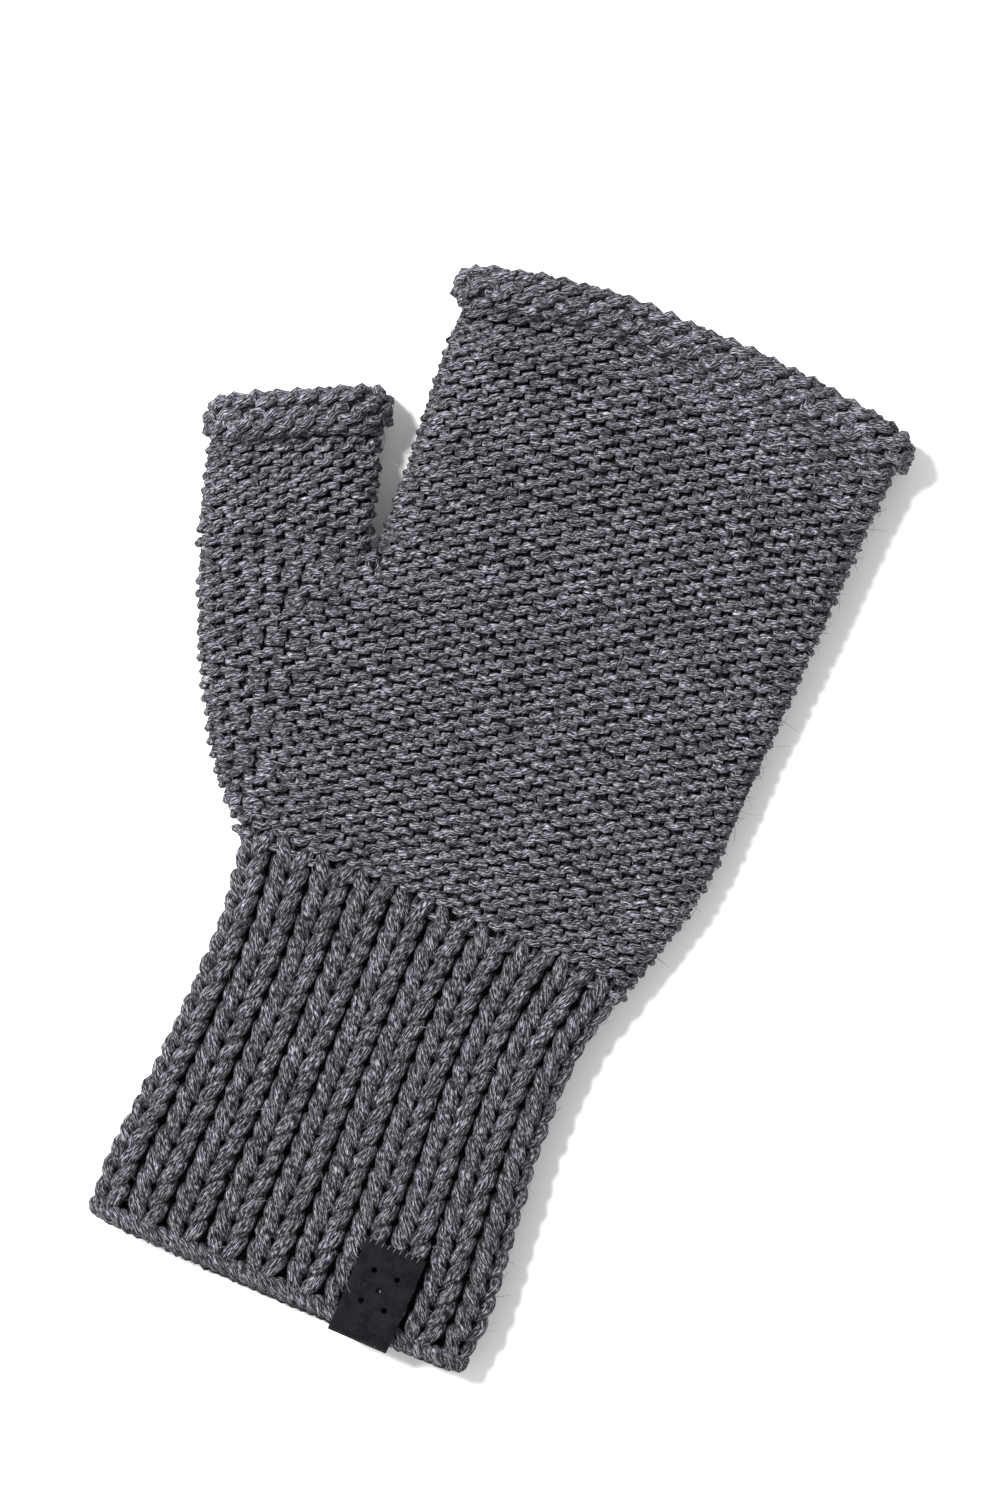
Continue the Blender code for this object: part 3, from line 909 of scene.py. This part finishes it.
def rib_round():
    """RIB_LOOP and its mirror repeated round the cuff, smoothed between its points."""
    left = np.array(RIB_LOOP)
    right = left[-2:0:-1] * (-1, 1, 1, 1)
    period = np.concatenate([left, right])
    count = len(period)
    rounds = np.concatenate([period + (i + 0.5, 0, 0, 0) for i in range(RIBS)])
    before, after = np.roll(rounds, 1, 0), np.roll(rounds, -1, 0)
    after_next = np.roll(rounds, -2, 0)
    before[0, 0] -= RIBS
    after[-1, 0] += RIBS
    after_next[-2:, 0] += RIBS
    middle = (9 * (rounds + after) - before - after_next) / 16
    fine = np.stack([rounds, middle], 1).reshape(-1, 4)
    return fine, 2 * count


class GLOVE_OT_knit_cuff(bpy.types.Operator):
    """Knits the ribbed cuff, whose plump loops stand out between deep valleys"""

    bl_idname = "glove.knit_cuff"
    bl_label = "Knit Ribbed Cuff"

    def execute(self, context):
        plump = context.scene.glove_yarn.rib_plumpness
        meshes = {half: YarnMesh(RIB_SIDES) for half in HALVES}
        path, steps = rib_round()
        half_way = RIBS // 2 * steps
        for row in range(RIB_ROWS):
            rib = path[:, 0] + uneven(path[:, 0], RIBS, 0.012)
            tall = path[:, 1] + row + uneven(path[:, 0] * 2, 2 * RIBS, 0.05)
            lift = path[:, 2] + uneven(path[:, 0] * 2, 2 * RIBS, 0.12)
            thick = path[:, 3] * plump * (1 + uneven(path[:, 0] * 2, 2 * RIBS, 0.06))
            centres, outs = lay(cuff_place, rib, tall, lift)
            stretches = [(meshes["back"], 0, half_way), (meshes["palm"], half_way, 2 * half_way)]
            sweep(stretches, centres, outs, thick, lift, ground=-2.1)
        for number, half in enumerate(HALVES):
            ribs = np.linspace(number * RIBS / 2, (number + 1) * RIBS / 2, 61)
            meshes[half].ground(cuff_place, ribs, np.linspace(-0.9, RIB_ROWS + 0.3, 22), -1.9, 0.5)
            cuff = meshes[half].make(f"cuff_rib_{half}_knit", rib_wool(), "rib_knit")
            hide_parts(f"cuff_rib_{half}")
            bend_at_wrist(cuff)
        return {"FINISHED"}


class GLOVE_OT_cast_on(bpy.types.Operator):
    """Lays the cast-on edge, a cord of slanted loops along the hem"""

    bl_idname = "glove.cast_on"
    bl_label = "Cast On Edge"

    def execute(self, context):
        meshes = {half: YarnMesh(RIB_SIDES) for half in HALVES}
        steps = 12
        rib = np.arange(CAST_ON_LOOPS * steps) / steps / (CAST_ON_LOOPS / RIBS)
        for strand in (0.0, 0.5):
            turn = TURN * (rib * CAST_ON_LOOPS / RIBS + strand)
            row = -0.78 + 0.2 * np.cos(turn) + uneven(rib, RIBS, 0.03)
            lift = -0.2 + 1.0 * np.sin(turn) + uneven(rib, RIBS, 0.1)
            thick = np.full(len(rib), 1.3) * (1 + uneven(rib * 2, 2 * RIBS, 0.08))
            centres, outs = lay(cuff_place, rib, row, lift)
            middle = len(rib) // 2
            stretches = [(meshes["back"], 0, middle), (meshes["palm"], middle, 2 * middle)]
            sweep(stretches, centres, outs, thick, lift + 0.5)
        for half in HALVES:
            edge = meshes[half].make(f"cast_on_edge_{half}_knit", rib_wool(), "rib_knit")
            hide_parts(f"cast_on_edge_{half}")
            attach(edge, "cuff")
        return {"FINISHED"}


class GLOVE_OT_crotch(bpy.types.Operator):
    """Closes the gap between the thumb and the hand with short saddle stitches"""

    bl_idname = "glove.crotch"
    bl_label = "Crotch Stitches"

    def execute(self, context):
        radius = context.scene.glove_yarn.loop_radius / MM * 1.05
        mid = float(hand_mid_z(CROTCH[1]))
        for side, half in ((1, "back"), (-1, "palm")):
            mesh = YarnMesh()
            for shift, low in ((-2.2, -0.4), (0.2, 0.0), (2.6, 0.2)):
                turn = np.linspace(0, math.pi / 2, 12)
                up = KNIT_HEIGHT + 0.3
                x = CROTCH[0] + shift + 0.25 * np.sin(turn * 2)
                y = CROTCH[1] - 2.3 + low + 4.0 * np.sin(turn)
                centres = np.stack([x + 0 * turn, y, mid + side * up * np.cos(turn)], -1)
                outs = np.stack([0 * turn, np.sin(turn), side * np.cos(turn)], -1)
                thick = np.full(12, radius)
                sweep([(mesh, 0, 11)], centres, outs, thick, 0 * turn, closed=False)
            stitches = mesh.make(f"crotch_stitches_{half}_knit", hand_wool(), "purl_knit")
            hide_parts(f"crotch_stitches_{half}")
            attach(stitches, "hand")
        return {"FINISHED"}


# ---------------------------------------------------------------- label


LABEL_X = (12.0, 25.0)
LABEL_TOP = 17.0
LABEL_OUTER_Z = 14.3
LABEL_INNER_Z = 9.7
LABEL_THICK = 0.9


def label_path():
    """(y, z) of the leather's face next to the knitting, from the outer leaf's top."""
    middle, radius = (LABEL_INNER_Z + LABEL_OUTER_Z) / 2, (LABEL_OUTER_Z - LABEL_INNER_Z) / 2
    fold = -2.8 + radius - 0.3
    path = [(y, LABEL_OUTER_Z) for y in np.linspace(LABEL_TOP, fold, 25)]
    for a in np.linspace(math.pi / 2, 3 * math.pi / 2, 15)[1:]:
        path.append((fold + radius * math.cos(a), middle + radius * math.sin(a)))
    path += [(y, LABEL_INNER_Z) for y in np.linspace(fold, LABEL_TOP, 15)[1:]]
    return path


def suede_material():
    material, tree, shader = new_material("label suede", 0.85, 0.12)
    place = tree.nodes.new("ShaderNodeTexCoord").outputs["Object"]
    nap = noise_node(tree, place, 1600.0, 3.0, 0.7)
    brushed = noise_node(tree, place, 420.0, 3.0)
    colour = bpy.context.scene.glove_label.colour
    value = math_node(tree, "MULTIPLY_ADD", brushed, 0.6, math_node(tree, "MULTIPLY", nap, 0.5))
    amount = ramp_node(tree, value, [(0.42, 0.0), (0.67, 1.0)])
    dark, light = [(*[k * c for c in colour], 1) for k in (0.35, 2.1)]
    tree.links.new(mix_node(tree, amount, dark, light), shader.inputs["Base Color"])
    add_bump(tree, shader, nap, 0.5, 0.12)
    return material


def thread_material():
    material, tree, shader = new_material("label thread", 0.5, 0.5)
    place = tree.nodes.new("ShaderNodeTexCoord").outputs["Object"]
    twist = noise_node(tree, place, 5200.0, 2.0)
    colour = mix_node(tree, twist, (0.008, 0.008, 0.011, 1), (0.07, 0.07, 0.085, 1))
    tree.links.new(colour, shader.inputs["Base Color"])
    add_bump(tree, shader, twist, 0.4, 0.05)
    return material


def apply_modifiers(obj):
    bpy.ops.object.select_all(action="DESELECT")
    obj.select_set(True)
    bpy.context.view_layer.objects.active = obj
    for modifier in list(obj.modifiers):
        bpy.ops.object.modifier_apply(modifier=modifier.name)


class GLOVE_OT_label(bpy.types.Operator):
    """Folds the suede label over the hem, punches its holes and sews its top edge"""

    bl_idname = "glove.label"
    bl_label = "Folded Label"

    def execute(self, context):
        path = label_path()
        bpy.ops.object.select_all(action="DESELECT")
        bpy.ops.mesh.primitive_grid_add(x_subdivisions=13, y_subdivisions=len(path) - 1, size=1)
        label = context.active_object
        label.name = "suede_label"
        for vertex in label.data.vertices:
            row = round((0.5 - vertex.co.y) * (len(path) - 1))
            share = vertex.co.x + 0.5
            y, z = path[row]
            x = LABEL_X[0] + share * (LABEL_X[1] - LABEL_X[0])
            vertex.co = to_frame(np.array([x, y, z + self.dip(share, y, z)]))
        leaf = label.modifiers.new("Leather", "SOLIDIFY")
        leaf.thickness = LABEL_THICK * MM
        leaf.offset = 1
        leaf.use_even_offset = True
        soft = label.modifiers.new("Cut edge", "BEVEL")
        soft.width = 0.12 * MM
        soft.segments = 2
        soft.limit_method = "ANGLE"
        soft.angle_limit = math.radians(50)
        apply_modifiers(label)
        self.punch(context, label)
        label.data.materials.clear()
        label.data.materials.append(suede_material())
        label.data.shade_smooth()
        label.data.set_sharp_from_angle(angle=math.radians(40))
        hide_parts("folded_label")
        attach(label, "cuff")
        self.sew(context)
        return {"FINISHED"}

    def dip(self, share, y, z):
        """The outer leaf lies softly over the ribs."""
        if z < LABEL_OUTER_Z - 0.01:
            return 0.0
        corner = (2 * share - 1) ** 2 * (y / LABEL_TOP) ** 2
        return 0.12 * math.sin(share * TURN * 1.5 + 0.6) - 0.25 * corner

    def punch(self, context, label):
        """Five evenly set holes through the outer leaf."""
        radius = context.scene.glove_label.hole_radius
        middle = np.array([sum(LABEL_X) / 2, 7.8, LABEL_OUTER_Z + LABEL_THICK])
        for across, up in ((0, 0), (-2.6, -3.4), (2.6, -3.4), (-2.6, 3.4), (2.6, 3.4)):
            spot = to_frame(middle + (across, up, 0))
            bpy.ops.object.select_all(action="DESELECT")
            bpy.ops.mesh.primitive_cylinder_add(
                vertices=20, radius=radius, depth=2.6 * MM, location=spot
            )
            punch = context.active_object
            cut = label.modifiers.new("Hole", "BOOLEAN")
            cut.operation = "DIFFERENCE"
            cut.object = punch
            apply_modifiers(label)
            bpy.data.objects.remove(punch, do_unlink=True)

    def sew(self, context):
        """Small stitches of dark thread along the top edge."""
        curve = bpy.data.curves.new("label_thread", "CURVE")
        curve.dimensions = "3D"
        curve.bevel_depth = 0.16 * MM
        curve.bevel_resolution = 2
        curve.use_fill_caps = True
        for x in np.arange(LABEL_X[0] + 0.9, LABEL_X[1] - 0.6, 1.32):
            spline = curve.splines.new("POLY")
            spline.points.add(6)
            for t, point in zip(np.linspace(0, math.pi, 7), spline.points):
                z = LABEL_OUTER_Z + LABEL_THICK - 0.22 + 0.36 * math.sin(t)
                y = LABEL_TOP - 0.35 - 0.5 * math.cos(t)
                point.co = (*to_frame(np.array([x - 0.12 * math.cos(t), y, z])), 1)
        thread = bpy.data.objects.new("label_thread", curve)
        context.scene.collection.objects.link(thread)
        bpy.ops.object.select_all(action="DESELECT")
        thread.select_set(True)
        context.view_layer.objects.active = thread
        bpy.ops.object.convert(target="MESH")
        thread = context.active_object
        thread.data.materials.clear()
        thread.data.materials.append(thread_material())
        thread.data.shade_smooth()
        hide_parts("label_stitching")
        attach(thread, "cuff")


# ---------------------------------------------------------------- stage


IMAGE_RIGHT = np.array([0.917, 0.399])
IMAGE_UP = np.array([-0.399, 0.917])
AIM = (14.9, 14.5, 8.0)  # the view's middle, in the frame's millimetres
VIEW_HEIGHT = 310.6
LENS = 100.0
KEY_TILT = math.radians(31)  # from straight overhead
KEY_ASIDE = -0.8 * IMAGE_RIGHT + 0.6 * IMAGE_UP
KEY_DISTANCE = 1.5


class GLOVE_OT_stage(bpy.types.Operator):
    """Adds the camera overhead, the pale floor and the soft light"""

    bl_idname = "glove.stage"
    bl_label = "Stage"

    def execute(self, context):
        settings = context.scene.glove_stage
        self.add_camera(context)
        bpy.ops.object.select_all(action="DESELECT")
        bpy.ops.mesh.primitive_plane_add(size=3.0, location=(0, 0, CAD_BOX[0].z))
        floor = context.active_object
        floor.name = "floor"
        floor.data.transform(floor.matrix_world)
        floor.matrix_world.identity()
        floor.location = (0, 0, 0)
        material, _, shader = new_material("pale floor", 0.9, 0.1)
        shader.inputs["Base Color"].default_value = (*settings.floor, 1)
        floor.data.materials.append(material)
        self.add_lights(context, settings)
        return {"FINISHED"}

    def add_camera(self, context):
        data = bpy.data.cameras.new("camera")
        data.lens = LENS
        data.clip_start = 0.01
        camera = bpy.data.objects.new("camera", data)
        distance = VIEW_HEIGHT * LENS / data.sensor_width
        camera.location = (AIM[0] * MM, AIM[1] * MM, (AIM[2] + distance) * MM)
        camera.rotation_euler = (0, 0, math.atan2(IMAGE_RIGHT[1], IMAGE_RIGHT[0]))
        context.scene.collection.objects.link(camera)
        context.scene.camera = camera

    def add_lights(self, context, settings):
        direction = Vector((*(KEY_ASIDE * math.sin(KEY_TILT)), math.cos(KEY_TILT)))
        light = bpy.data.lights.new("key", "AREA")
        light.shape = "DISK"
        light.size = 0.3
        light.energy = settings.key
        key = bpy.data.objects.new("key", light)
        key.location = direction * KEY_DISTANCE
        key.rotation_mode = "QUATERNION"
        key.rotation_quaternion = direction.to_track_quat("Z", "Y")
        context.scene.collection.objects.link(key)
        world = bpy.data.worlds.new("even light")
        world.use_nodes = True
        background = world.node_tree.nodes["Background"]
        background.inputs["Color"].default_value = (1, 1, 1, 1)
        background.inputs["Strength"].default_value = settings.fill
        context.scene.world = world
        context.scene.view_settings.view_transform = "Standard"


# ---------------------------------------------------------------- add-on


OPERATORS = (
    GLOVE_OT_stage,
    GLOVE_OT_knit_cuff,
    GLOVE_OT_cast_on,
    GLOVE_OT_knit_hand,
    GLOVE_OT_knit_thumb,
    GLOVE_OT_knit_rolls,
    GLOVE_OT_crotch,
    GLOVE_OT_label,
)


class GLOVE_PT_sidebar(bpy.types.Panel):
    bl_idname = "GLOVE_PT_sidebar"
    bl_label = "Fingerless Glove"
    bl_space_type = "VIEW_3D"
    bl_region_type = "UI"
    bl_category = "Glove"

    def draw(self, context):
        column = self.layout.column(align=True)
        for operator in OPERATORS:
            column.operator(operator.bl_idname)


GROUPS = {
    "glove_yarn": GloveYarnSettings,
    "glove_label": GloveLabelSettings,
    "glove_stage": GloveStageSettings,
}


def register():
    for kind in (*GROUPS.values(), *OPERATORS, GLOVE_PT_sidebar):
        bpy.utils.register_class(kind)
    for name, kind in GROUPS.items():
        setattr(bpy.types.Scene, name, bpy.props.PointerProperty(type=kind))


def unregister():
    for name in GROUPS:
        delattr(bpy.types.Scene, name)
    for kind in reversed((*GROUPS.values(), *OPERATORS, GLOVE_PT_sidebar)):
        bpy.utils.unregister_class(kind)


def main():
    register()
    for operator in OPERATORS:
        getattr(bpy.ops.glove, operator.bl_idname.split(".")[1])()


if __name__ == "__main__":
    main()
